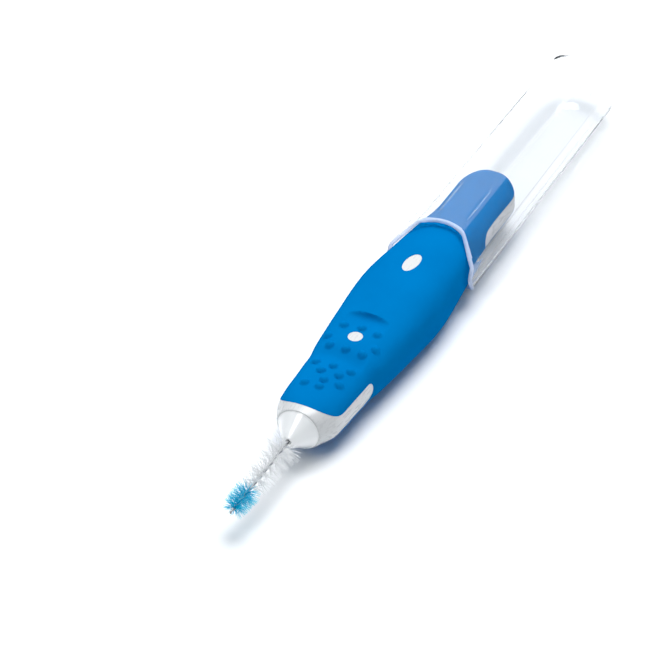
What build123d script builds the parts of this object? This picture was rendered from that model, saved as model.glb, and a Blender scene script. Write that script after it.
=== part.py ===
from build123d import *
from math import acos, cos, pi, sin, sqrt
import os

# Interdental brush with its clear cap pushed on the rear of the handle.
# The brush axis runs along X, with the wire tip at -X and the closed end of the cap at +X.
# Stations along the axis are given from the wire tip. Z is up, and Z = 0 is the flat
# underside of the cap, which the brush lies on. Millimetres.

os.makedirs("parts", exist_ok=True)

# ---------------------------------------------------------------- driving dimensions
cap_length = 40.5                          # scalloped rim to closed end
rim_station = 53.2                         # rim of the cap's mouth, above and below
total_length = rim_station + cap_length
tip_x = -total_length / 2
axis_height = 4.2                          # brush axis above the surface

# twisted wire stem
strand_radius = 0.13
strand_offset = 0.19                       # strand centre from the brush axis
wire_radius = strand_offset + strand_radius
wire_pitch = 2.4                           # one full turn of the twist
wire_root = 20.0                           # station where the wire ends inside the plug

# filaments: each half turn of the twist spreads one full fan of them
filament_radius = 0.04
filaments_per_fan = 13
blue_fans, white_fans = 3, 7
brush_start = 0.9
brush_end = brush_start + (blue_fans + white_fans) * wire_pitch / 2
tip_brush_radius, base_brush_radius = 1.45, 2.4

# nose cone and the plug behind it
nose_station, seam_station = 13.5, 16.0
nose_radius, seam_radius = 0.6, 2.66
plug_radius, plug_end = 1.6, 21.0
press_play = 0.02

# handle sections: station, half width, half thickness, corner radius
handle_sections = [
    (seam_station, 2.72, 2.72, 2.70),
    (18.6, 4.02, 2.92, 2.35),
    (24.5, 4.28, 2.98, 2.40),
    (28.5, 4.70, 3.26, 2.60),
    (34.5, 5.22, 3.66, 2.90),
    (42.0, 5.55, 4.12, 3.25),
    (48.8, 4.85, 3.60, 3.10),
    (53.2, 4.35, 3.25, 2.60),
    (57.5, 3.76, 2.76, 2.20),
    (64.0, 3.72, 2.70, 2.15),
    (68.0, 3.72, 2.70, 2.15),
]
tail_end = 67.5
overmould_wall = 0.95                      # rubber thickness over the core
skin_step = 0.04                           # the rubber stands this much proud of the core
band_height, band_level = 2.2, 0.2         # white side band, centred just above the axis
front_band_end, tail_band_start = 26.4, 56.0
rubber_front, rubber_front_corner = 17.1, 2.2
dot_station, dot_radius = 30.1, 0.88
oval_station, oval_half_length, oval_half_width = 44.5, 1.9, 1.02

# raised grip pattern, the same on both faces: station, bumps in the row, spacing
bump_rows = [(20.8, 2, 2.0), (22.3, 3, 2.0), (23.6, 4, 1.9), (25.0, 3, 2.1), (27.8, 3, 2.1),
             (31.3, 2, 4.3)]
bump_sphere, bump_rise = 0.62, 0.17
ridge_station, ridge_half_width, ridge_bow = 33.9, 2.7, 0.6
ridge_radius, ridge_rise = 0.45, 0.2

# clear cap
cap_wall = 0.45
mouth_half_width, dome_half_width = 5.6, 5.0
cap_half_height = axis_height
facet_half_width, side_half_height = 3.0, 1.6
dome_length, dome_tip_scale = 4.2, 0.34
lobe_reach, lobe_half_height, lobe_corner = 4.3, 2.5, 1.2
rib_width, rib_rise, rib_start, rib_end, rib_offset = 0.5, 0.5, 1.5, 9.0, 1.9
vent_width, vent_height, vent_level, vent_depth = 1.7, 0.8, 2.35, 2.0
gate_radius, gate_depth = 0.8, 0.15


def across(station):
    """Plane across the brush axis: local x is +Y, local y is +Z."""
    return Plane(origin=(tip_x + station, 0, axis_height), x_dir=(0, 1, 0), z_dir=(1, 0, 0))


def side_view():
    """Plane along the axis, upright: local x is +X from the wire tip, local y is +Z."""
    return Plane(origin=(tip_x, 0, axis_height), x_dir=(1, 0, 0), z_dir=(0, -1, 0))


def plan_view():
    """Plane along the axis, level: local x is +X from the wire tip, local y is +Y."""
    return Plane(origin=(tip_x, 0, axis_height))


def handle_top(station, side):
    """Height of the upper face above the axis, at a distance `side` from the centre line."""
    near = max(section for section in handle_sections if section[0] <= station)
    far = min(section for section in handle_sections if section[0] > station)
    share = (station - near[0]) / (far[0] - near[0])
    half_width, half_thickness, corner = [a + share * (b - a) for a, b in zip(near[1:], far[1:])]
    past_flat = max(0.0, abs(side) - (half_width - corner))
    return half_thickness - corner + sqrt(corner ** 2 - past_flat ** 2)


def finish(name, part):
    """Label one finished piece and write its STEP file."""
    part.label = name
    export_step(part, f"parts/{name}.step")


# ---------------------------------------------------------------- handle envelope
def handle_envelope(inset):
    """Solid through all the handle sections, inset evenly, with a rounded tail end."""
    with BuildPart() as envelope:
        for station, half_width, half_thickness, corner in handle_sections:
            width, thickness = 2 * (half_width - inset), 2 * (half_thickness - inset)
            with BuildSketch(across(station)):
                RectangleRounded(width, thickness, min(corner - inset, 0.497 * thickness))
        loft()
        tail_half_width = handle_sections[-1][1] - inset
        tail_centre = tail_end - inset - tail_half_width
        with BuildSketch(plan_view()):
            with Locations((tail_centre, 0)):
                Circle(tail_half_width)
            with Locations((tail_centre / 2, 0)):
                Rectangle(tail_centre, 4 * mouth_half_width)
        extrude(amount=2 * axis_height, both=True, mode=Mode.INTERSECT)
    return envelope.part


# ---------------------------------------------------------------- white zones
with BuildPart() as white_zones:
    # the shoulder ahead of the rubber, whose front edge has rounded corners
    rubber_half_width = handle_sections[1][1] + 0.1
    with BuildSketch(plan_view()):
        with Locations((rubber_front, 0)):
            Rectangle(4 * rubber_front_corner, 4 * mouth_half_width)
        with Locations((rubber_front + 4 * rubber_front_corner, 0)):
            RectangleRounded(8 * rubber_front_corner, 2 * rubber_half_width, rubber_front_corner,
                             mode=Mode.SUBTRACT)
        with Locations((rubber_front + 3 * rubber_front_corner, 0)):
            Rectangle(4 * rubber_front_corner, 4 * mouth_half_width, mode=Mode.SUBTRACT)
    extrude(amount=2 * axis_height, both=True)
    # side bands beside the front of the grip and round the tail
    with BuildSketch(side_view()):
        with Locations(((seam_station + front_band_end) / 2, band_level)):
            SlotOverall(front_band_end - seam_station, band_height)
        with Locations((tail_band_start + (tail_end - tail_band_start), 0)):
            SlotOverall(2 * (tail_end - tail_band_start), band_height)
    extrude(amount=2 * mouth_half_width, both=True)
    # round and oval windows through the rubber, on both faces
    with BuildSketch(plan_view()):
        with Locations((dot_station, 0)):
            Circle(dot_radius)
        with Locations((oval_station, 0)):
            Ellipse(oval_half_length, oval_half_width)
    extrude(amount=2 * axis_height, both=True)

inner_core = handle_envelope(overmould_wall)

# ---------------------------------------------------------------- rubber grip
with BuildPart() as grip_overmould:
    add(handle_envelope(0))
    # rows of small bumps on the upper and lower faces
    for station, count, spacing in bump_rows:
        for index in range(count):
            side = (index - (count - 1) / 2) * spacing
            level = handle_top(station, side) + bump_rise - bump_sphere
            with Locations((tip_x + station, side, axis_height + level),
                           (tip_x + station, side, axis_height - level)):
                Sphere(bump_sphere)
    # a bowed ridge behind the dot, where the finger pad ends
    for face in (1, -1):
        level = axis_height + face * (handle_top(ridge_station, 0) + ridge_rise - ridge_radius)
        ridge_end = tip_x + ridge_station - ridge_bow
        with BuildLine() as ridge_path:
            ThreePointArc((ridge_end, ridge_half_width, level),
                          (tip_x + ridge_station, 0, level),
                          (ridge_end, -ridge_half_width, level))
        with BuildSketch(ridge_path.line ^ 0):
            Circle(ridge_radius)
        sweep(path=ridge_path.line)
    add(white_zones.part, mode=Mode.SUBTRACT)
    add(inner_core, mode=Mode.SUBTRACT)
finish("grip_overmould", grip_overmould.part)

# ---------------------------------------------------------------- white core
with BuildPart() as handle_core:
    add(handle_envelope(skin_step))
    add(white_zones.part, mode=Mode.INTERSECT)
    add(inner_core)
    with BuildSketch(across(seam_station)):
        Circle(plug_radius + press_play)
    extrude(amount=plug_end - seam_station, mode=Mode.SUBTRACT)
finish("handle_core", handle_core.part)

# ---------------------------------------------------------------- nose cone
with BuildPart() as nose_cone:
    bore = wire_radius + press_play
    with BuildSketch(side_view()):
        with BuildLine():
            Polyline((nose_station, bore), (nose_station, nose_radius), (seam_station, seam_radius),
                     (seam_station, plug_radius), (plug_end, plug_radius), (plug_end, bore),
                     close=True)
        make_face()
    revolve(axis=Axis((tip_x, 0, axis_height), (1, 0, 0)))
    rounded_rims = nose_cone.edges().filter_by(GeomType.CIRCLE).sort_by(Axis.X)
    fillet(rounded_rims[1], radius=0.15)
finish("nose_cone", nose_cone.part)

# ---------------------------------------------------------------- twisted wire stem
with BuildPart() as stem_wire:
    with BuildLine() as strand_path:
        Helix(pitch=wire_pitch, height=wire_root - wire_radius, radius=strand_offset,
              center=(tip_x + wire_radius, 0, axis_height), direction=(1, 0, 0))
    with BuildSketch(strand_path.line ^ 0):
        Circle(strand_radius)
    sweep(path=strand_path.line, is_frenet=True)
    add(stem_wire.part.rotate(Axis((0, 0, axis_height), (1, 0, 0)), 180))
    # the fold at the tip, which joins the two strands
    with BuildSketch(across(wire_radius)):
        with Locations((0, strand_offset)):
            Circle(strand_radius)
    revolve(axis=Axis((tip_x + wire_radius, 0, axis_height), (0, -1, 0)), revolution_arc=180)
    with Locations(*[(tip_x + wire_radius, 0, axis_height + side * strand_offset)
                     for side in (1, -1)]):
        Sphere(1.03 * strand_radius)
finish("stem_wire", stem_wire.part)

# ---------------------------------------------------------------- filaments
for fan in range(blue_fans + white_fans):
    colour = "blue" if fan < blue_fans else "white"
    with BuildPart() as filaments:
        for index in range(filaments_per_fan):
            station = brush_start + (fan + index / filaments_per_fan) * wire_pitch / 2
            # a filament lies square to the line between the two strands, which start upright
            twist = 2 * pi * (station - wire_radius) / wire_pitch
            share = (station - brush_start) / (brush_end - brush_start)
            reach = tip_brush_radius + share * (base_brush_radius - tip_brush_radius)
            lengthwise = Plane(
                origin=(tip_x + station, -reach * cos(twist), axis_height - reach * sin(twist)),
                x_dir=(1, 0, 0),
                z_dir=(0, cos(twist), sin(twist)),
            )
            with BuildSketch(lengthwise):
                Circle(filament_radius)
            extrude(amount=2 * reach)
    finish(f"{colour}_filament_fan_{fan + 1:02d}", filaments.part)

# ---------------------------------------------------------------- clear cap
dome_start = rim_station + cap_length - dome_length
lobe_station = rim_station - lobe_reach


def cap_section(station, inset, scale_by=1.0):
    """Eight-sided face across the cap, narrowing evenly from the lobes to the dome."""
    share = min(1.0, (station - lobe_station) / (dome_start - lobe_station))
    half_width = mouth_half_width + share * (dome_half_width - mouth_half_width) - inset
    half_height = cap_half_height - inset
    quarter = [(half_width, side_half_height), (facet_half_width, half_height)]
    upper = quarter + [(-side, up) for side, up in reversed(quarter)]
    outline = upper + [(side, -up) for side, up in reversed(upper)]
    with BuildSketch(across(station)) as section:
        with BuildLine():
            Polyline([(side * scale_by, up * scale_by) for side, up in outline], close=True)
        make_face()
    return section.sketch


def cap_solid(inset, start):
    """Faceted tube from `start` with an elliptical dome on its end, inset evenly."""
    with BuildPart() as solid:
        add(cap_section(start, inset))
        add(cap_section(dome_start, inset))
        loft(ruled=True)
        last_angle = acos(dome_tip_scale)
        for step in range(6):
            angle = last_angle * step / 5
            rise = (dome_length - inset) * sin(angle) / sin(last_angle)
            add(cap_section(dome_start + rise, inset, cos(angle)))
        loft()
    return solid.part


with BuildPart() as cap:
    add(cap_solid(0, lobe_station))
    add(cap_solid(cap_wall, lobe_station - 1), mode=Mode.SUBTRACT)
    # the rim is cut back above and below, which leaves a rounded lobe on each side
    with BuildSketch(side_view()) as scallops:
        with Locations((rim_station - lobe_reach, 0)):
            Rectangle(2 * lobe_reach, 3 * cap_half_height)
        with BuildSketch(side_view(), mode=Mode.SUBTRACT) as lobe:
            with Locations((rim_station, 0)):
                RectangleRounded(2 * lobe_reach, 2 * lobe_half_height, lobe_corner)
    extrude(amount=2 * mouth_half_width, both=True, mode=Mode.SUBTRACT)
    # short guide ribs inside the flat top and bottom walls
    rib_level = cap_half_height - cap_wall
    rib_centre = tip_x + rim_station + (rib_start + rib_end) / 2
    rib_height = rib_rise + cap_wall / 2
    with Locations(*[(rib_centre, side * rib_offset,
                      axis_height + face * (rib_level - rib_rise + rib_height / 2))
                     for side in (1, -1) for face in (1, -1)]):
        Box(rib_end - rib_start, rib_width, rib_height)
    # two vents and the gate recess in the closed end
    end_station = rim_station + cap_length
    with Locations((tip_x + end_station, 0, axis_height + vent_level),
                   (tip_x + end_station, 0, axis_height - vent_level)):
        Box(2 * vent_depth, vent_width, vent_height, mode=Mode.SUBTRACT)
    with BuildSketch(across(end_station)):
        Circle(gate_radius)
    extrude(amount=-gate_depth, mode=Mode.SUBTRACT)
finish("cap", cap.part)
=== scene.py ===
import math
import random

import bpy
import numpy as np
from mathutils import Matrix, Vector
from mathutils.kdtree import KDTree


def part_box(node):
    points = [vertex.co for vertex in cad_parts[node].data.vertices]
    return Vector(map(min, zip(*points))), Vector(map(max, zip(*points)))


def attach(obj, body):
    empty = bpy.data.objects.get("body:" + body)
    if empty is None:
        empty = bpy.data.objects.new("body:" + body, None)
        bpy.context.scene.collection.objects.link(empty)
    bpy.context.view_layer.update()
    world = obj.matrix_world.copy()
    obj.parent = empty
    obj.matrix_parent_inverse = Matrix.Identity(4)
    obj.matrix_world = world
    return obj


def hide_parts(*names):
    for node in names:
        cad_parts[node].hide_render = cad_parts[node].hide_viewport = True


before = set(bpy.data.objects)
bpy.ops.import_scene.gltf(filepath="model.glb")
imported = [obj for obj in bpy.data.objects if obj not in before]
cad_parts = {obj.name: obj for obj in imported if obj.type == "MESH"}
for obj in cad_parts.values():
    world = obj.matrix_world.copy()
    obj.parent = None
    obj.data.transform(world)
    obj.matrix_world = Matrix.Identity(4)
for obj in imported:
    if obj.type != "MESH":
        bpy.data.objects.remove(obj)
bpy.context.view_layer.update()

# Interdental brush with a clear cap on the rear of its handle. The brush axis runs along X.
# Shapes are worked out in millimetres as (station, side, level): the distance behind the wire
# tip, the distance to +Y of the axis and the height over the axis. place() turns them into
# metres in the CAD frame.
MM = 0.001
TIP_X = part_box("stem_wire")[0].x
AXIS_Z = (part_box("cap")[0].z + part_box("cap")[1].z) / 2


# ---------------------------------------------------------------- sizes, from the frame
def stations_of(node):
    """Stations of the two ends of a CAD node."""
    low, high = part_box(node)
    return (low.x - TIP_X) / MM, (high.x - TIP_X) / MM


def radius_of(node):
    """Height of a CAD node's top over the brush axis, in millimetres."""
    return (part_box(node)[1].z - AXIS_Z) / MM


seam_station, tail_end = stations_of("handle_core")
nose_station, plug_end = stations_of("nose_cone")
lobe_station, cap_end = stations_of("cap")
brush_start = stations_of("blue_filament_fan_01")[0]
brush_end = stations_of("white_filament_fan_10")[1]
tip_brush_radius = radius_of("blue_filament_fan_01")
base_brush_radius = radius_of("white_filament_fan_10")
cap_half_height = radius_of("cap")
mouth_half_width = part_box("cap")[1].y / MM

# handle sections behind the shoulder: station, half width, half thickness
handle_sections = [
    (18.6, 3.88, 2.90),
    (24.5, 4.14, 2.98),
    (28.5, 4.54, 3.26),
    (34.5, 5.06, 3.66),
    (42.0, 5.42, 4.12),
    (48.8, 4.82, 3.60),
    (53.2, 4.33, 3.25),
    (57.5, 3.76, 2.76),
    (64.0, 3.72, 2.70),
    (68.0, 3.72, 2.70),
]
seam_radius = 2.70
shoulder_station = handle_sections[0][0]
tail_radius = handle_sections[-1][1]
rubber_wall = 0.95
skin_step = 0.03                           # how far the white core lies under the rubber's face
squareness = 3.0                           # exponent of the rounded section, 2 for an ellipse
squareness_run = 5.0                       # distance over which the round seam grows to it


def place(points):
    """Array of (station, side, level) in millimetres to metres in the frame."""
    return np.asarray(points, float) * MM + np.array([TIP_X, 0.0, AXIS_Z])


# ---------------------------------------------------------------- mesh helpers
def smooth_step(value):
    value = np.clip(value, 0.0, 1.0)
    return value * value * (3 - 2 * value)


def curve_through(stations, values, at):
    """Smooth curve through the given values, evaluated at the stations `at`."""
    stations, values, at = (np.asarray(a, float) for a in (stations, values, at))
    slopes = np.gradient(values, stations)
    left = np.clip(np.searchsorted(stations, at, side="right") - 1, 0, len(stations) - 2)
    gap = stations[left + 1] - stations[left]
    t = (at - stations[left]) / gap
    return (
        (2 * t ** 3 - 3 * t ** 2 + 1) * values[left]
        + (t ** 3 - 2 * t ** 2 + t) * gap * slopes[left]
        + (3 * t ** 2 - 2 * t ** 3) * values[left + 1]
        + (t ** 3 - t ** 2) * gap * slopes[left + 1]
    )


def add_mesh(name, points, faces, smooth_angle=35):
    """New object from millimetre points, smooth except across sharper edges."""
    mesh = bpy.data.meshes.new(name)
    mesh.from_pydata(place(points).tolist(), [], faces)
    mesh.validate()
    obj = bpy.data.objects.new(name, mesh)
    bpy.context.scene.collection.objects.link(obj)
    shade(obj, smooth_angle)
    return obj


def shade(obj, smooth_angle):
    obj.data.shade_smooth()
    obj.data.set_sharp_from_angle(angle=math.radians(smooth_angle))


def ring_faces(rows, columns):
    """Quads between closed rings that follow each other, and a face over each end."""
    faces = []
    for row in range(rows - 1):
        for column in range(columns):
            after = (column + 1) % columns
            here, there = row * columns, (row + 1) * columns
            faces.append((here + column, here + after, there + after, there + column))
    faces.append(tuple(reversed(range(columns))))
    faces.append(tuple(range((rows - 1) * columns, rows * columns)))
    return faces


def add_rings(name, rings, smooth_angle=35):
    """Closed solid through rings of points, an array of rows by columns by 3."""
    rows, columns = rings.shape[:2]
    return add_mesh(name, rings.reshape(-1, 3), ring_faces(rows, columns), smooth_angle)


def add_loop(name, rings, smooth_angle=35):
    """Solid of revolution or tube that closes on itself: the last ring joins the first."""
    rows, columns = rings.shape[:2]
    faces = []
    for row in range(rows):
        for column in range(columns):
            after, below = (column + 1) % columns, (row + 1) % rows
            faces.append((row * columns + column, row * columns + after,
                          below * columns + after, below * columns + column))
    return add_mesh(name, rings.reshape(-1, 3), faces, smooth_angle)


def arc(centre, radius, start, end, steps):
    """Points of a circular arc in a plane, angles in degrees."""
    angles = np.radians(np.linspace(start, end, steps + 1))
    return [(centre[0] + radius * math.cos(a), centre[1] + radius * math.sin(a)) for a in angles]


def add_prism(name, outline, axis, reach):
    """Straight solid of a flat outline: axis 'up' takes (station, side), 'across' (station, level)."""
    ends = []
    for end in (-reach, reach):
        if axis == "up":
            ends.append([(station, other, end) for station, other in outline])
        else:
            ends.append([(station, end, other) for station, other in outline])
    return add_rings(name, np.array(ends))


def apply_modifiers(obj):
    depsgraph = bpy.context.evaluated_depsgraph_get()
    mesh = bpy.data.meshes.new_from_object(obj.evaluated_get(depsgraph))
    obj.modifiers.clear()
    obj.data = mesh


def face_outwards(obj):
    """Turn the faces of a closed mesh so that its volume is positive."""
    mesh = obj.data
    mesh.calc_loop_triangles()
    volume = 0.0
    for triangle in mesh.loop_triangles:
        a, b, c = (mesh.vertices[i].co for i in triangle.vertices)
        volume += a.dot(b.cross(c))
    if volume < 0:
        mesh.flip_normals()


def combine(obj, tool, operation, keep_tool=False):
    """Boolean of two closed solids, applied to the first."""
    face_outwards(obj)
    face_outwards(tool)
    modifier = obj.modifiers.new(operation.lower(), "BOOLEAN")
    modifier.operation = operation
    modifier.solver = "MANIFOLD"
    modifier.object = tool
    apply_modifiers(obj)
    if not keep_tool:
        bpy.data.objects.remove(tool)


def finish_piece(obj, material, body, slot, *nodes):
    """Give a piece its material and its body, and hide the CAD nodes that it replaces; the slot is not
    used.
    """
    obj.data.materials.clear()
    obj.data.materials.append(material)
    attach(obj, body)
    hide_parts(*nodes)


# ---------------------------------------------------------------- handle surface
# raised points: station of the row, side of its middle, how many, and their spacing
bump_rows = [(20.7, 0.65, 2, 1.9), (21.95, -1.2, 2, 2.0), (23.35, -0.25, 2, 2.3),
             (24.65, 0.0, 3, 2.25), (27.75, 0.0, 3, 2.1), (31.45, 0.0, 2, 4.3), (31.8, 0.0, 1, 0.0),
             (29.2, 0.0, 2, 6.2)]
bump_radius, bump_rise, bump_power = 0.58, 0.42, 0.8
# finger notch: a crescent, steep at its rear wall and running out forwards
notch_station, notch_bow, notch_half_width = 34.2, 0.6, 2.8
notch_depth, notch_slope, notch_run = 1.4, 0.6, 1.5
# waist between the two groups of points: a dip in the faces and a pinch in the sides
waist_station, waist_depth, waist_pinch, waist_half_length = 26.3, 0.38, 0.15, 1.3
pad_half_width, pad_edge = 3.4, 1.2
pattern_end = 35.0                         # the rings are closest up to here
relief_from, relief_fade = 0.35, 0.4       # share of the thickness where the relief fades in


def relief(station, side):
    """Height of the moulded grip pattern over the plain handle, on either face."""
    height = np.zeros_like(station)
    for row_station, row_side, count, spacing in bump_rows:
        for index in range(count):
            bump_side = row_side + (index - (count - 1) / 2) * spacing
            distance = np.hypot(station - row_station, side - bump_side) / bump_radius
            height += bump_rise * np.clip(1 - distance ** 2, 0, 1) ** bump_power
    on_pad = smooth_step((pad_half_width - np.abs(side)) / pad_edge)
    height -= waist_depth * waist_share(station) * on_pad
    wall = notch_station - notch_bow * (side / notch_half_width) ** 2
    ahead = np.clip(wall - station, 0, None)
    floor = (1 - np.exp(-ahead / notch_slope)) * np.exp(-ahead / notch_run)
    width = np.clip(1 - (side / notch_half_width) ** 2, 0, 1)
    height -= notch_depth * floor * width
    return height


def waist_share(stations):
    """How far each station lies in the waist between the two groups of points, 0 to 1."""
    return np.exp(-((stations - waist_station) / waist_half_length) ** 2)


def handle_size(stations, inset):
    """Half width, half thickness and squareness of the handle at each station."""
    table = np.array(handle_sections)
    width = curve_through(table[:, 0], table[:, 1], stations)
    thickness = curve_through(table[:, 0], table[:, 2], stations)
    width -= waist_pinch * waist_share(stations)
    # the shoulder swells from the round seam out to the first section
    length = shoulder_station - seam_station
    rise = np.clip((stations - seam_station) / length, 0, 1)
    swell = (np.sqrt(1 - (1 - rise) ** 2) + smooth_step(rise)) / 2
    shoulder = stations < shoulder_station
    for size in (width, thickness):
        size[shoulder] = (seam_radius + (size[~shoulder][0] - seam_radius) * swell)[shoulder]
    power = 2 + (squareness - 2) * smooth_step((stations - seam_station) / squareness_run)
    width -= inset
    thickness -= inset
    # round end in plan, with softer corners in thickness
    radius = tail_radius - inset
    past = np.clip((stations - (tail_end - inset - radius)) / radius, 0, 1)
    width *= np.sqrt(1 - past ** 2)
    thickness *= (1 - past ** 6) ** (1 / 3)
    return width, thickness, power


def handle_rings(stations, columns, inset=0.0, detailed=True):
    """Rings of the handle's outer surface, evenly spaced round each one."""
    widths, thicknesses, powers = handle_size(stations, inset)
    samples = 1441
    angles = np.linspace(0, 2 * math.pi, samples)
    cosine, sine = np.cos(angles), np.sin(angles)
    rings = np.zeros((len(stations), columns, 3))
    for row, (station, width, thickness, power) in enumerate(
            zip(stations, widths, thicknesses, powers)):
        side = width * np.sign(cosine) * np.abs(cosine) ** (2 / power)
        level = thickness * np.sign(sine) * np.abs(sine) ** (2 / power)
        length = np.concatenate([[0], np.cumsum(np.hypot(np.diff(side), np.diff(level)))])
        even = np.linspace(0, length[-1], columns, endpoint=False)
        side, level = np.interp(even, length, side), np.interp(even, length, level)
        if detailed:
            facing = smooth_step((np.abs(level) / thickness - relief_from) / relief_fade)
            level += np.sign(level) * facing * relief(np.full(columns, station), side)
        rings[row] = np.stack([np.full(columns, station), side, level], axis=1)
    return rings


def handle_stations(inset, fine):
    """Stations of the rings, closest over the grip pattern and round the two ends."""
    end = tail_end - inset
    shoulder = seam_station + (shoulder_station - seam_station) * np.linspace(0, 1, 16) ** 2
    pattern = np.arange(shoulder_station + fine, pattern_end, fine)
    grip = np.arange(pattern_end, end - tail_radius, 3 * fine)
    tail = end - tail_radius + tail_radius * np.sin(np.linspace(0, 0.499 * math.pi, 24))
    return np.concatenate([shoulder, pattern, grip, tail])


# ---------------------------------------------------------------- white zones of the handle
band_half_height, band_level = 1.15, -0.15
front_band_end, tail_band_start = 26.4, 56.0
rubber_front, rubber_corner = 16.75, 3.2
dot_station, dot_radius = 30.1, 0.88
oval_station, oval_half_length, oval_half_width = 44.5, 1.9, 0.88
beyond = 12.0                              # how far the cutting solids stand out of the handle


def white_zones():
    """Closed solid of every place where the white core shows through the rubber."""
    # seen from the side: the shoulder, with rounded corners into a band that ends round
    start, corner = seam_station - 1, rubber_front + rubber_corner
    top, bottom = band_level + band_half_height, band_level - band_half_height
    front = [(start, -beyond), (start, beyond), (rubber_front, beyond)]
    front += arc((corner, top + rubber_corner), rubber_corner, 180, 270, 16)
    front += arc((front_band_end - band_half_height, band_level), band_half_height, 90, -90, 16)
    front += arc((corner, bottom - rubber_corner), rubber_corner, 90, 180, 16)
    front += [(rubber_front, -beyond)]
    zones = add_prism("white_zones", front, "across", beyond)
    rear = [(tail_end + 1, -band_half_height), (tail_end + 1, band_half_height)]
    rear += arc((tail_band_start + band_half_height, 0), band_half_height, 90, 270, 16)
    dot = arc((dot_station, 0), dot_radius, 0, 360, 48)[:-1]
    oval = [(oval_station + oval_half_length * math.cos(a), oval_half_width * math.sin(a))
            for a in np.linspace(0, 2 * math.pi, 64, endpoint=False)]
    for name, outline, axis in (("tail_band", rear, "across"), ("dot", dot, "up"),
                                ("oval", oval, "up")):
        combine(zones, add_prism(name, outline, axis, beyond), "UNION")
    return zones


def build_handle(rubber, white):
    fine = 0.13
    columns = 220
    inner_step, inner_columns = 0.5, 72
    zones = white_zones()
    inner_stations = handle_stations(rubber_wall, inner_step)
    inner = add_rings("inner_core",
                      handle_rings(inner_stations, inner_columns, rubber_wall, False))
    grip = add_rings("rubber_grip", handle_rings(handle_stations(0, fine), columns))
    combine(grip, zones, "DIFFERENCE", keep_tool=True)
    combine(grip, inner, "DIFFERENCE", keep_tool=True)
    core = add_rings("white_core",
                     handle_rings(handle_stations(skin_step, fine), columns, skin_step))
    combine(core, zones, "INTERSECT")
    combine(core, inner, "UNION")
    socket_start, socket_radius = seam_station - 1, plug_radius + socket_play
    socket = add_lathe("socket", [(socket_start, pinhole), (socket_start, socket_radius),
                                  (plug_end, socket_radius), (plug_end, pinhole)], 64)
    combine(core, socket, "DIFFERENCE")
    for piece in (grip, core):
        shade(piece, 40)
    finish_piece(grip, rubber, "handle", "grip_blue", "grip_overmould")
    finish_piece(core, white, "handle", "core_white", "handle_core")


# ---------------------------------------------------------------- nose cone
cone_radius, nose_radius, plug_radius, bore = 2.64, 0.72, 1.6, 0.34
socket_play = 0.03                         # gap round the plug in the core
pinhole = 0.001                            # a lathed cutting tool stops this short of its axis
nose_round, rim_round, mouth_round = 0.16, 0.07, 0.08
mouth_depth = 0.35
rim_gap, back_inset = 0.02, 0.2            # rim short of the seam, and first step of the back
cone_steps = 20


def add_lathe(name, profile, columns, smooth_angle=35):
    """Solid of revolution about the brush axis; the closed profile is (station, radius)."""
    angles = np.linspace(0, 2 * math.pi, columns, endpoint=False)
    rings = [[(station, radius * math.cos(a), radius * math.sin(a)) for a in angles]
             for station, radius in profile]
    return add_loop(name, np.array(rings), smooth_angle)


def build_nose_cone(pearl):
    """Straight cone with a rounded nose and a rounded rim, over a plug with the wire's bore."""
    slope = math.degrees(math.atan2(cone_radius - nose_radius, seam_station - nose_station))
    profile = [(nose_station + mouth_depth, bore)]
    profile += arc((nose_station + mouth_round, bore + mouth_round), mouth_round, 270, 180, 4)
    profile += arc((nose_station + nose_round, nose_radius - nose_round), nose_round,
                   180, 90 + slope * 0.6, 6)
    for step in range(2, cone_steps):
        share = step / cone_steps
        profile.append((nose_station + share * (seam_station - nose_station),
                        nose_radius + share * (cone_radius - nose_radius)))
    inside = rim_round + rim_gap
    profile += arc((seam_station - inside, cone_radius - inside), rim_round, 110, 0, 6)
    profile += [(seam_station, cone_radius - back_inset), (seam_station, plug_radius),
                (plug_end, plug_radius), (plug_end, bore)]
    cone = add_lathe("pearl_nose_cone", profile, 128, 30)
    finish_piece(cone, pearl, "handle", "cone_pearl", "nose_cone")


# ---------------------------------------------------------------- twisted wire
strand_radius, strand_offset, wire_pitch, wire_root = 0.1, 0.115, 2.4, 20.0
twist_start = strand_offset + strand_radius


def twist_angle(station):
    """Angle of the first strand about the axis, upright where the twist starts."""
    return math.pi / 2 + 2 * math.pi * (station - twist_start) / wire_pitch


def tube_rings(path, radii, columns):
    """Rings round a path of points, with a frame carried along it so that it doesn't twist."""
    path = [Vector(point) for point in path]
    rings, across = [], None
    for index, point in enumerate(path):
        before, after = path[max(index - 1, 0)], path[min(index + 1, len(path) - 1)]
        heading = (after - before).normalized()
        if across is None:
            across = heading.orthogonal().normalized()
        across = (across - heading * across.dot(heading)).normalized()
        other = heading.cross(across)
        radius = radii[index]
        rings.append([point + radius * (across * math.cos(a) + other * math.sin(a))
                      for a in np.linspace(0, 2 * math.pi, columns, endpoint=False)])
    return np.array(rings)


def build_wire(steel):
    """One wire folded in two at the tip and twisted back along itself."""
    steps_per_turn = 28
    count = int((wire_root - twist_start) / wire_pitch * steps_per_turn)
    stations = np.linspace(twist_start, wire_root, count)
    strands = []
    for phase in (0, math.pi):
        strands.append([(station,
                         strand_offset * math.cos(twist_angle(station) + phase),
                         strand_offset * math.sin(twist_angle(station) + phase))
                        for station in stations])
    fold = [(twist_start - strand_offset * math.sin(a), 0.0, strand_offset * math.cos(a))
            for a in np.linspace(0, math.pi, 13)[1:-1]]
    path = list(reversed(strands[0])) + fold + strands[1]
    wire = add_rings("twisted_wire", tube_rings(path, [strand_radius] * len(path), 14), 60)
    finish_piece(wire, steel, "handle", "wire_steel", "stem_wire")


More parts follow.
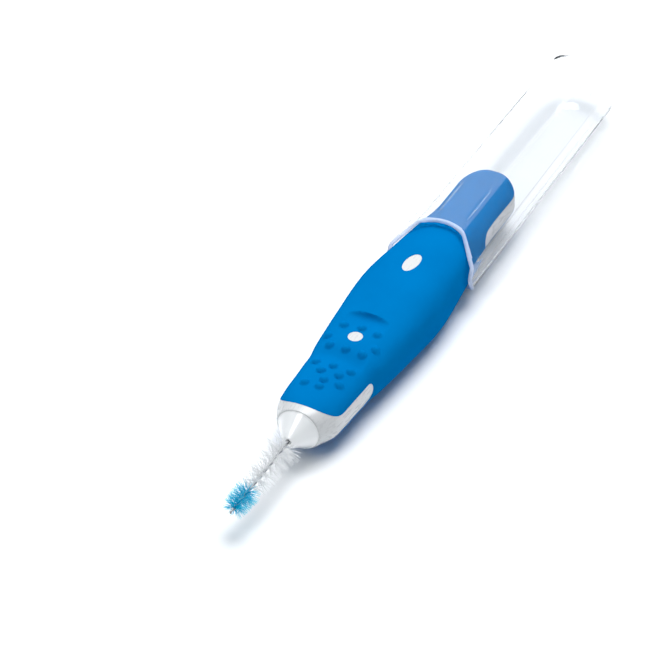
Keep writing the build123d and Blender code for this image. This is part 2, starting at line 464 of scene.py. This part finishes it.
# ---------------------------------------------------------------- filaments
blue_radius, white_radius, filament_taper = 0.026, 0.034, 0.5
blue_end = 4.1                             # station where the blue filaments give way to white
station_jitter = 0.4                       # share of the gap to the next filament
lean_range = 0.12                          # slant along the axis, as a share of the reach
droop_low, droop_high = -0.1, 0.12         # curl along the axis at the tip
bend_range = 0.05                          # curl round the axis at the tip, in radians
length_low, length_high = 0.93, 1.02       # shares of the brush radius
rod_steps, rod_columns = 6, 6


def build_filaments(name, material, slot, first, last, radius, per_turn, fan, seed, nodes):
    """Thin rods held across the twisted wire, in a screw round it."""
    draw = random.Random(seed)
    count = int((last - first) / wire_pitch * per_turn)
    rods = []
    for index in range(count):
        jitter = draw.uniform(-station_jitter, station_jitter)
        station = first + (last - first) * (index + 0.5 + jitter) / count
        share = (station - brush_start) / (brush_end - brush_start)
        reach = tip_brush_radius + share * (base_brush_radius - tip_brush_radius)
        angle = twist_angle(station) + math.pi / 2
        for side in (1, -1):
            lean = draw.uniform(-lean_range, lean_range)
            turn = angle + (0 if side > 0 else math.pi) + draw.uniform(-fan, fan)
            length = reach * draw.uniform(length_low, length_high)
            droop = draw.uniform(droop_low, droop_high)
            bend = draw.uniform(-bend_range, bend_range)
            path = []
            for t in np.linspace(0, 1, rod_steps + 1):
                out = length * t
                swing = turn + bend * t * t
                path.append((station + lean * out + droop * t * t,
                             out * math.cos(swing), out * math.sin(swing)))
            radii = [radius * (1 - filament_taper * (step / rod_steps) ** 2)
                     for step in range(rod_steps + 1)]
            rods.append(tube_rings(path, radii, rod_columns))
    points = np.concatenate([rod.reshape(-1, 3) for rod in rods])
    faces, start = [], 0
    for rod in rods:
        rows, columns = rod.shape[:2]
        faces += [tuple(start + i for i in face) for face in ring_faces(rows, columns)]
        start += rows * columns
    brush = add_mesh(name, points, faces, 60)
    finish_piece(brush, material, "handle", slot, *nodes)


# ---------------------------------------------------------------- clear cap
cap_wall = 0.45
dome_half_width, dome_length, dome_tip_scale = 5.0, 4.2, 0.34
facet_half_width, side_half_height = 3.0, 1.6
facet_round = 0.75
lobe_reach = 4.3
rim_station = lobe_station + lobe_reach
dome_start = cap_end - dome_length
rim_sharpness = 1.6                        # how fast the rim's arch leaves its crown
rim_crowding = 1.3                         # how closely the rings crowd towards the rim
dome_rounding = 1.4                        # how soon the dome's outline becomes an ellipse
rim_reach = 0.2                            # faces this near to the rounded rim are matt, with painted light in their colour
square_station = rim_station + 1.5         # behind it the rings stand square to the axis
rib_start, rib_end = rim_station + 1.5, rim_station + 9.0
rib_side, rib_radius, rib_sink = 1.9, 0.25, 0.1
vent_level, vent_half_height, vent_half_width, vent_reach = 2.35, 0.4, 0.85, 2.5
gate_radius, gate_depth, gate_flare = 0.7, 0.15, 0.1


def cap_corners(half_width, inset):
    """Corners of the eight-sided section, each wall moved inwards by the same amount."""
    rise, run = cap_half_height - side_half_height, half_width - facet_half_width
    slant = math.hypot(rise, run)
    normal = (rise / slant, run / slant)
    reach = normal[0] * half_width + normal[1] * side_half_height - inset
    side, top = half_width - inset, cap_half_height - inset
    quarter = [(side, (reach - normal[0] * side) / normal[1]),
               ((reach - normal[1] * top) / normal[0], top)]
    upper = quarter + [(-y, z) for y, z in reversed(quarter)]
    return upper + [(-y, -z) for y, z in upper]


def cap_outline(half_width, inset, flat_steps=22, corner_steps=8):
    """Points round the section with its corners rounded and its flats kept flat."""
    corners = [Vector(corner) for corner in cap_corners(half_width, inset)]
    radius = max(facet_round - inset, 0.2)
    points, count = [], len(corners)
    for index, corner in enumerate(corners):
        to_last = (corners[index - 1] - corner).normalized()
        to_next = (corners[(index + 1) % count] - corner).normalized()
        half_angle = to_last.angle(to_next) / 2
        setback = radius / math.tan(half_angle)
        centre = corner + (to_last + to_next).normalized() * radius / math.sin(half_angle)
        start = corner + to_last * setback - centre
        turn = math.pi - 2 * half_angle
        for step in range(corner_steps + 1):
            angle = turn * step / corner_steps
            points.append(centre + Matrix.Rotation(angle, 2) @ start)
        leave = corner + to_next * setback
        following = corners[(index + 1) % count]
        after = corners[(index + 2) % count]
        next_half = (corner - following).angle(after - following) / 2
        arrive = following + (corner - following).normalized() * radius / math.tan(next_half)
        shares = [0.02] + [k / flat_steps for k in range(1, flat_steps)] + [0.98]
        points += [leave.lerp(arrive, share) for share in shares]
    return np.array([tuple(point) for point in points])


def rim_start(outline):
    """Station of the rim round the section: an arch above and below, a tongue on each side."""
    steps = np.hypot(*(np.roll(outline, -1, axis=0) - outline).T)
    travelled = np.concatenate([[0], np.cumsum(steps)[:-1]])
    quarter = steps.sum() / 4
    side = travelled[np.argmax(outline[:, 0] - np.abs(outline[:, 1]))]
    turned = (travelled - side) / quarter * math.pi / 2
    return lobe_station + lobe_reach * np.abs(np.sin(turned)) ** rim_sharpness


def cap_half_width_at(station):
    """The tube narrows evenly from its mouth to the start of the dome."""
    share = (station - lobe_station) / (dome_start - lobe_station)
    return mouth_half_width + np.clip(share, 0, 1) * (dome_half_width - mouth_half_width)


def tube_wall(inset):
    """Rings from the arched rim to the start of the dome."""
    rings = []
    mouth = cap_outline(mouth_half_width, inset)
    start = rim_start(mouth)
    for share in np.linspace(0, 1, 16) ** rim_crowding:
        stations = start + (square_station - start) * share
        ring = []
        for column, station in enumerate(stations):
            narrowing = (cap_half_width_at(station) - inset) / (mouth_half_width - inset)
            ring.append((station, mouth[column, 0] * narrowing, mouth[column, 1]))
        rings.append(ring)
    for station in np.linspace(square_station, dome_start, 14)[1:]:
        narrowing = (cap_half_width_at(station) - inset) / (mouth_half_width - inset)
        rings.append([(station, side * narrowing, level) for side, level in mouth])
    return rings


def dome_wall(base, inset, steps=16):
    """Rings of the dome, which turns from the tube's outline `base` into an ellipse."""
    last_angle = math.acos(dome_tip_scale)
    bearing = np.arctan2(base[:, 1] / (cap_half_height - inset),
                         base[:, 0] / (dome_half_width - inset))
    ellipse = np.stack([(dome_half_width - inset) * np.cos(bearing),
                        (cap_half_height - inset) * np.sin(bearing)], axis=1)
    rings = []
    for step in range(1, steps + 1):
        angle = last_angle * step / steps
        rise = (dome_length - inset) * math.sin(angle) / math.sin(last_angle)
        blend = smooth_step(dome_rounding * step / steps)
        outline = (base * (1 - blend) + ellipse * blend) * math.cos(angle)
        rings.append([(dome_start + rise, side, level) for side, level in outline])
    tip = rings[-1]
    for scale in (0.94, 0.7, 0.4, 0.1):
        rings.append([(station, side * scale, level * scale) for station, side, level in tip])
    return rings


def cap_rings(inset):
    """Rings of the outer or the inner wall, from the rim to the closed end."""
    tube = tube_wall(inset)
    return np.array(tube + dome_wall(np.array(tube[-1])[:, 1:], inset))


def rim_lip(outer, inner, steps=8):
    """Rings of the half round that joins the outer wall's first ring to the inner wall's."""
    middle, arm = (outer + inner) / 2, (outer - inner) / 2
    lip = []
    for step in range(1, steps):
        angle = math.pi * step / steps
        ring = middle + arm * math.cos(angle)
        ring[:, 0] -= cap_wall / 2 * math.sin(angle)
        lip.append(ring)
    return np.array(lip)


def build_cap(clear, rim_painted_light):
    """Clear tube with four ribs in it, and two vents and a gate mark in its closed end."""
    outer, inner = cap_rings(0), cap_rings(cap_wall)
    lip = rim_lip(outer[0], inner[0])
    cap = add_rings("clear_cap", np.concatenate([outer[::-1], lip, inner]), 50)
    rib_level = cap_half_height - cap_wall + rib_sink
    for face in (1, -1):
        for side in (1, -1):
            rib = rounded_bar("rib", rib_start, rib_end, side * rib_side, face * rib_level,
                              rib_radius)
            combine(cap, rib, "UNION")
        vent = rounded_bar("vent", cap_end - vent_reach, cap_end + vent_reach, 0,
                           face * vent_level, vent_half_height, vent_half_width)
        combine(cap, vent, "DIFFERENCE")
    floor, top = cap_end - gate_depth, cap_end + 1
    gate = add_lathe("gate", [(floor, pinhole), (floor, gate_radius),
                              (top, gate_radius + gate_flare), (top, pinhole)], 48)
    combine(cap, gate, "DIFFERENCE")
    shade(cap, 40)
    finish_piece(cap, clear, "cap", "cap_clear", "cap")
    paint_light_on_rim(cap, np.concatenate([outer[:1], lip, inner[:1]]), rim_painted_light)


def paint_light_on_rim(cap, rim, rim_painted_light):
    """Second material on the faces of the rounded rim: matt, in a pale lilac that is painted light,
    standing in for the light that shows through the clear edge.
    """
    cap.data.materials.append(rim_painted_light)
    points = place(rim.reshape(-1, 3))
    near = KDTree(len(points))
    for index, point in enumerate(points):
        near.insert(point, index)
    near.balance()
    for polygon in cap.data.polygons:
        if near.find(polygon.center)[2] < rim_reach * MM:
            polygon.material_index = 1


def rounded_bar(name, start, end, side, level, half_height, half_width=None):
    """Bar along the axis with a stadium or round section and rounded ends."""
    half_width = half_width or half_height
    end_length, end_scale = 0.8, 0.03
    angles = np.linspace(0, 2 * math.pi, 32, endpoint=False)
    across = (half_width - half_height) * np.sign(np.cos(angles)) + half_height * np.cos(angles)
    upwards = half_height * np.sin(angles)
    rings = []
    for station in np.linspace(start, end, 13):
        edge = min(station - start, end - station, end_length) / end_length
        scale = end_scale + (1 - end_scale) * math.sqrt(1 - (1 - edge) ** 2)
        rings.append(np.stack([np.full(len(angles), station), side + scale * across,
                               level + scale * upwards], axis=1))
    return add_rings(name, np.array(rings))


# ---------------------------------------------------------------- materials
def new_material(name, **sockets):
    """Principled material; the named sockets are set to the same value all over."""
    material = bpy.data.materials.new(name)
    material.use_nodes = True
    shader = material.node_tree.nodes["Principled BSDF"]
    for key, value in sockets.items():
        shader.inputs[key.replace("_", " ")].default_value = value
    return material, material.node_tree, shader


def linked_noise(tree, scale, detail, stretch=(1, 1, 1)):
    """Noise over the object's own coordinates, in metres, stretched along an axis."""
    coordinates = tree.nodes.new("ShaderNodeTexCoord")
    mapping = tree.nodes.new("ShaderNodeMapping")
    mapping.inputs["Scale"].default_value = stretch
    noise = tree.nodes.new("ShaderNodeTexNoise")
    noise.inputs["Scale"].default_value = scale
    noise.inputs["Detail"].default_value = detail
    tree.links.new(coordinates.outputs["Object"], mapping.inputs["Vector"])
    tree.links.new(mapping.outputs["Vector"], noise.inputs["Vector"])
    return noise.outputs["Fac"]


noise_low, noise_high = 0.3, 0.7           # most of the noise lies between these


def colour_between(tree, factor, low, high):
    """Colour that goes from low to high as the noise does."""
    ramp = tree.nodes.new("ShaderNodeValToRGB")
    ramp.color_ramp.elements[0].position = noise_low
    ramp.color_ramp.elements[0].color = (*low, 1)
    ramp.color_ramp.elements[1].position = noise_high
    ramp.color_ramp.elements[1].color = (*high, 1)
    tree.links.new(factor, ramp.inputs["Fac"])
    return ramp.outputs["Color"]


def value_between(tree, factor, low, high):
    """Number that goes from low to high as the noise does."""
    span = tree.nodes.new("ShaderNodeMapRange")
    span.inputs["From Min"].default_value = noise_low
    span.inputs["From Max"].default_value = noise_high
    span.inputs["To Min"].default_value = low
    span.inputs["To Max"].default_value = high
    tree.links.new(factor, span.inputs["Value"])
    return span.outputs["Result"]


def bump(tree, factor, strength, distance):
    node = tree.nodes.new("ShaderNodeBump")
    node.inputs["Strength"].default_value = strength
    node.inputs["Distance"].default_value = distance
    tree.links.new(factor, node.inputs["Height"])
    return node.outputs["Normal"]


def rubber_material():
    material, tree, shader = new_material("soft_blue_rubber", Specular_IOR_Level=0.0)
    broad = linked_noise(tree, 160, 3)
    fine = linked_noise(tree, 9000, 2)
    tree.links.new(colour_between(tree, broad, (0.0, 0.158, 0.437), (0.0, 0.175, 0.475)),
                   shader.inputs["Base Color"])
    tree.links.new(value_between(tree, fine, 0.55, 0.72), shader.inputs["Roughness"])
    tree.links.new(bump(tree, fine, 0.25, 0.00001), shader.inputs["Normal"])
    return material


def white_plastic():
    material, tree, shader = new_material("white_plastic", Coat_Weight=0.3, Coat_Roughness=0.12)
    broad = linked_noise(tree, 220, 3)
    scuffs = linked_noise(tree, 3500, 3, (0.15, 1, 1))
    tree.links.new(colour_between(tree, broad, (0.61, 0.61, 0.61), (0.64, 0.64, 0.64)),
                   shader.inputs["Base Color"])
    tree.links.new(value_between(tree, scuffs, 0.26, 0.30), shader.inputs["Roughness"])
    tree.links.new(bump(tree, scuffs, 0.004, 0.000002), shader.inputs["Normal"])
    return material


def pearl_plastic():
    material, tree, shader = new_material("pearl_plastic", Coat_Weight=1.0, Coat_Roughness=0.05,
                                          Subsurface_Weight=0.15, Subsurface_Scale=0.0008,
                                          Subsurface_Radius=(1.0, 1.0, 1.0))
    swirl = linked_noise(tree, 500, 4, (0.4, 1, 1))
    fine = linked_noise(tree, 5000, 2)
    tree.links.new(colour_between(tree, swirl, (0.92, 0.92, 0.91), (0.95, 0.95, 0.94)),
                   shader.inputs["Base Color"])
    tree.links.new(value_between(tree, fine, 0.2, 0.26), shader.inputs["Roughness"])
    tree.links.new(bump(tree, swirl, 0.03, 0.00001), shader.inputs["Normal"])
    return material


def steel_material():
    material, tree, shader = new_material("drawn_steel", Metallic=1.0)
    drawn = linked_noise(tree, 9000, 3, (0.2, 1, 1))
    tree.links.new(colour_between(tree, drawn, (0.36, 0.37, 0.39), (0.54, 0.54, 0.56)),
                   shader.inputs["Base Color"])
    tree.links.new(value_between(tree, drawn, 0.25, 0.38), shader.inputs["Roughness"])
    return material


pale_from = 0.4                            # share of the tip radius where filaments start to pale


def filament_material(name, root_colour, tip_colour, tip_radius, **sockets):
    """Nylon whose colour pales from the wire out to the tips."""
    material, tree, shader = new_material(name, **sockets)
    coordinates = tree.nodes.new("ShaderNodeTexCoord")
    centred = tree.nodes.new("ShaderNodeMapping")
    centred.inputs["Location"].default_value = (0, 0, -AXIS_Z)
    flatten = tree.nodes.new("ShaderNodeVectorMath")
    flatten.operation = "MULTIPLY"
    flatten.inputs[1].default_value = (0, 1, 1)
    length = tree.nodes.new("ShaderNodeVectorMath")
    length.operation = "LENGTH"
    span = tree.nodes.new("ShaderNodeMapRange")
    span.inputs["From Max"].default_value = tip_radius * MM
    ramp = tree.nodes.new("ShaderNodeValToRGB")
    ramp.color_ramp.elements[0].position = pale_from
    ramp.color_ramp.elements[0].color = (*root_colour, 1)
    ramp.color_ramp.elements[1].color = (*tip_colour, 1)
    tree.links.new(coordinates.outputs["Object"], centred.inputs["Vector"])
    tree.links.new(centred.outputs["Vector"], flatten.inputs[0])
    tree.links.new(flatten.outputs["Vector"], length.inputs[0])
    tree.links.new(length.outputs["Value"], span.inputs["Value"])
    tree.links.new(span.outputs["Result"], ramp.inputs["Fac"])
    tree.links.new(ramp.outputs["Color"], shader.inputs["Base Color"])
    grain = linked_noise(tree, 7000, 2)
    tree.links.new(value_between(tree, grain, 0.25, 0.4), shader.inputs["Roughness"])
    return material


def blue_nylon():
    return filament_material("blue_nylon", (0.0, 0.51, 0.76), (0.24, 0.80, 0.95), 1.6,
                             Specular_IOR_Level=0.05)


def white_nylon():
    return filament_material("white_nylon", (0.86, 0.86, 0.86), (0.95, 0.95, 0.95), 2.2,
                             Specular_IOR_Level=0.3)


def clear_plastic():
    material, tree, shader = new_material("clear_plastic", Transmission_Weight=1.0, IOR=1.05,
                                          Coat_Weight=0.85, Coat_IOR=1.5, Coat_Roughness=0.03)
    flow = linked_noise(tree, 600, 3, (0.12, 1, 1))
    haze = linked_noise(tree, 2500, 2)
    tree.links.new(colour_between(tree, haze, (0.975, 0.983, 0.995), (0.988, 0.993, 0.999)),
                   shader.inputs["Base Color"])
    tree.links.new(value_between(tree, haze, 0.01, 0.04), shader.inputs["Roughness"])
    tree.links.new(bump(tree, flow, 0.05, 0.00002), shader.inputs["Normal"])
    return material


def matt_rim_painted_light():
    material, tree, shader = new_material("matt_rim_painted_light", Transmission_Weight=0.35, IOR=1.2)
    grain = linked_noise(tree, 3000, 3)
    # painted light: this pale lilac stands in for the light that shows through the clear rim
    tree.links.new(colour_between(tree, grain, (0.66, 0.74, 0.93), (0.74, 0.80, 0.96)),
                   shader.inputs["Base Color"])
    tree.links.new(value_between(tree, grain, 0.35, 0.5), shader.inputs["Roughness"])
    return material


def floor_material():
    material, tree, shader = new_material("pale_floor", Specular_IOR_Level=0.15)
    grain = linked_noise(tree, 900, 4)
    tree.links.new(colour_between(tree, grain, (0.965, 0.965, 0.97), (0.98, 0.98, 0.985)),
                   shader.inputs["Base Color"])
    tree.links.new(value_between(tree, grain, 0.6, 0.75), shader.inputs["Roughness"])
    return material


# ---------------------------------------------------------------- floor, light and camera
def build_floor():
    size, drop = 1.5, 0.00002
    mesh = bpy.data.meshes.new("floor")
    corners = [(-size, -size, -drop), (size, -size, -drop), (size, size, -drop),
               (-size, size, -drop)]
    mesh.from_pydata(corners, [], [(0, 1, 2, 3)])
    floor = bpy.data.objects.new("floor", mesh)
    bpy.context.scene.collection.objects.link(floor)
    mesh.materials.append(floor_material())


def add_area_light(name, position, target, size, power):
    light = bpy.data.lights.new(name, "AREA")
    light.shape = "DISK"
    light.size = size
    light.energy = power
    lamp = bpy.data.objects.new(name, light)
    bpy.context.scene.collection.objects.link(lamp)
    lamp.location = position
    lamp.rotation_mode = "QUATERNION"
    lamp.rotation_quaternion = (Vector(target) - Vector(position)).to_track_quat("-Z", "Y")


bright_side = (0.66, 0.40, 0.62)           # direction of the room's bright side
dim_strength, bright_strength = 0.02, 0.5
dim_tint = (0.62, 0.82, 1.0)


def build_light():
    """Soft light from overhead and behind the cap, and a dim blue room on the other side."""
    world = bpy.data.worlds.new("studio")
    bpy.context.scene.world = world
    world.use_nodes = True
    tree = world.node_tree
    background = tree.nodes["Background"]
    coordinates = tree.nodes.new("ShaderNodeTexCoord")
    towards = tree.nodes.new("ShaderNodeVectorMath")
    towards.operation = "DOT_PRODUCT"
    towards.inputs[1].default_value = Vector(bright_side).normalized()
    span = tree.nodes.new("ShaderNodeMapRange")
    span.inputs["From Min"].default_value = -1
    span.inputs["To Min"].default_value = dim_strength
    span.inputs["To Max"].default_value = bright_strength
    tint = tree.nodes.new("ShaderNodeValToRGB")
    tint.color_ramp.elements[0].color = (*dim_tint, 1)
    tint.color_ramp.elements[1].color = (1.0, 1.0, 1.0, 1)
    tree.links.new(coordinates.outputs["Generated"], towards.inputs[0])
    tree.links.new(towards.outputs["Value"], span.inputs["Value"])
    tree.links.new(span.outputs["Result"], background.inputs["Strength"])
    tree.links.new(span.outputs["Result"], tint.inputs["Fac"])
    tree.links.new(tint.outputs["Color"], background.inputs["Color"])
    add_area_light("top_softbox", (0.15, -0.02, 0.48), (0, 0, 0), 0.4, 2.3)
    add_area_light("rear_panel", (0.44, 0.21, 0.36), (0.04, 0, 0), 0.5, 0.6)
    add_area_light("cone_highlight", (-0.288, 0.063, 0.424), (-0.03, 0, 0), 0.2, 0.6)
    bpy.context.scene.view_settings.view_transform = "Standard"


# angles in degrees, the azimuth from -Y towards +X; aim_right and aim_up shift the aim off the
# axis, in millimetres along the picture's own directions
camera_azimuth, camera_elevation, camera_roll = -61.0, 38.5, -1.94
camera_distance, camera_lens, sensor_width = 0.4634, 219.9, 36.0
aim_station, aim_right, aim_up = 38.47, -7.47, -0.83


def build_camera():
    azimuth, elevation = math.radians(camera_azimuth), math.radians(camera_elevation)
    back = Vector((math.sin(azimuth) * math.cos(elevation),
                   -math.cos(azimuth) * math.cos(elevation), math.sin(elevation)))
    level_right = Vector((0, 0, 1)).cross(back).normalized()
    level_up = back.cross(level_right)
    roll = math.radians(camera_roll)
    right = level_right * math.cos(roll) + level_up * math.sin(roll)
    up = level_up * math.cos(roll) - level_right * math.sin(roll)
    aim = Vector(place((aim_station, 0, 0))) + (right * aim_right + up * aim_up) * MM
    data = bpy.data.cameras.new("camera")
    data.lens = camera_lens
    data.sensor_width = sensor_width
    data.clip_start, data.clip_end = 0.01, 10
    camera = bpy.data.objects.new("camera", data)
    bpy.context.scene.collection.objects.link(camera)
    camera.matrix_world = Matrix.Translation(aim + back * camera_distance) @ Matrix(
        (right, up, back)).transposed().to_4x4()
    bpy.context.scene.camera = camera


build_handle(rubber_material(), white_plastic())
build_nose_cone(pearl_plastic())
build_wire(steel_material())
build_filaments("blue_filaments", blue_nylon(), "filament_blue", brush_start, blue_end,
                blue_radius, per_turn=150, fan=1.57, seed=11,
                nodes=[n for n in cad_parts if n.startswith("blue_filament")])
build_filaments("white_filaments", white_nylon(), "filament_white", blue_end, brush_end,
                white_radius, per_turn=44, fan=0.6, seed=23,
                nodes=[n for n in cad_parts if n.startswith("white_filament")])
build_cap(clear_plastic(), matt_rim_painted_light())
build_floor()
build_light()
build_camera()
